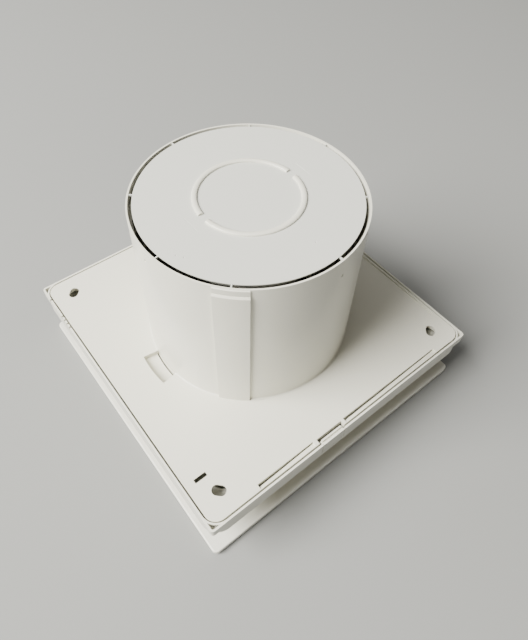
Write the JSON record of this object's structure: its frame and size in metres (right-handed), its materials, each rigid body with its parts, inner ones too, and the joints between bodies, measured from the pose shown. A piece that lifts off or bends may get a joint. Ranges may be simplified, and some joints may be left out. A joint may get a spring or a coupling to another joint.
{
  "type": "bathroom extractor fan",
  "caption": "Slim square bathroom extractor fan with stand-off front panel, push-on cover, axial fan in a round duct spigot and an end disc.",
  "frame": {"origin": "centre of the front panel's outer face, on the axis of the spigot, motor and impeller", "axes": "+Z runs from the front panel back along the duct spigot; the cable entry slot is on the -X side and the cover latch on the -Y side; the fan lies face down as it would on a bench"},
  "size_m": [0.154, 0.154, 0.1124],
  "materials": {
    "housing": "satin moulded white ABS",
    "cover": "satin moulded white ABS",
    "panel": "gloss white ABS, satin back",
    "disc": "cool white matt moulding",
    "sleeve": "matt black rubber",
    "motor_steel": "zinc-plated pressed steel",
    "screws": "zinc-plated steel",
    "bushes": "sintered bronze",
    "laminations": "stacked electrical steel",
    "windings": "enamelled copper wire",
    "shaft": "ground steel",
    "impeller": "moulded white polypropylene",
    "terminal": "ivory polyamide",
    "board": "green solder resist on glass laminate",
    "relay": "blue moulded case",
    "capacitor": "black sleeved can",
    "knob": "white moulded trimmer",
    "leads": "PVC insulated wire"
  },
  "bodies": {
    "base": {"base_plate": "housing", "screw_bosses": "housing", "spigot": "housing", "inlet_bell": "housing", "motor_bracket": "housing", "motor_sleeve": "sleeve", "motor_can": "motor_steel", "motor_end_plate": "motor_steel", "motor_screws": "screws", "front_bush": "bushes", "rear_bush": "bushes", "stator_core": "laminations", "stator_windings": "windings", "terminal_block": "terminal", "terminal_screws": "screws", "cable_clamp": "terminal", "clamp_screws": "screws", "timer_board": "board", "board_relay": "relay", "board_capacitor": "capacitor", "timer_pot": "relay", "board_screws": "screws", "motor_leads": "leads"},
    "rotor": {"rotor_core": "laminations", "motor_shaft": "shaft", "impeller_hub": "impeller", "impeller_blades": "impeller", "impeller_nut": "screws"},
    "cover": {"cover_frame": "cover", "inlet_grille": "cover"},
    "latch": {"cover_latch": "cover"},
    "panel": {"front_panel": "panel", "panel_pegs": "panel"},
    "disc": {"end_disc": "disc"},
    "trimmer": {"timer_knob": "knob"}
  },
  "joints": [
    {"name": "rotor_spin", "type": "hinge", "parent": "base", "child": "rotor", "pos_m": [0, 0, 0.05], "axis": [0, 0, 1], "continuous": true},
    {"name": "cover_pull", "type": "slide", "parent": "base", "child": "cover", "axis": [0, 0, -1], "range_m": [0, 0.04]},
    {"name": "cover_latch_flex", "type": "hinge", "parent": "cover", "child": "latch", "pos_m": [-0.01175, -0.07645, 0.0259], "axis": [1, 0, 0], "range_deg": [0, 8], "stiffness_Nm_per_rad": 0.3},
    {"name": "panel_pull", "type": "slide", "parent": "cover", "child": "panel", "axis": [0, 0, -1], "range_m": [0, 0.03]},
    {"name": "disc_pull", "type": "slide", "parent": "base", "child": "disc", "axis": [0, 0, 1], "range_m": [0, 0.03]},
    {"name": "trimmer_turn", "type": "hinge", "parent": "base", "child": "trimmer", "pos_m": [0.056, 0.044, 0.021], "axis": [0, 0, -1], "range_deg": [0, 270]}
  ]
}
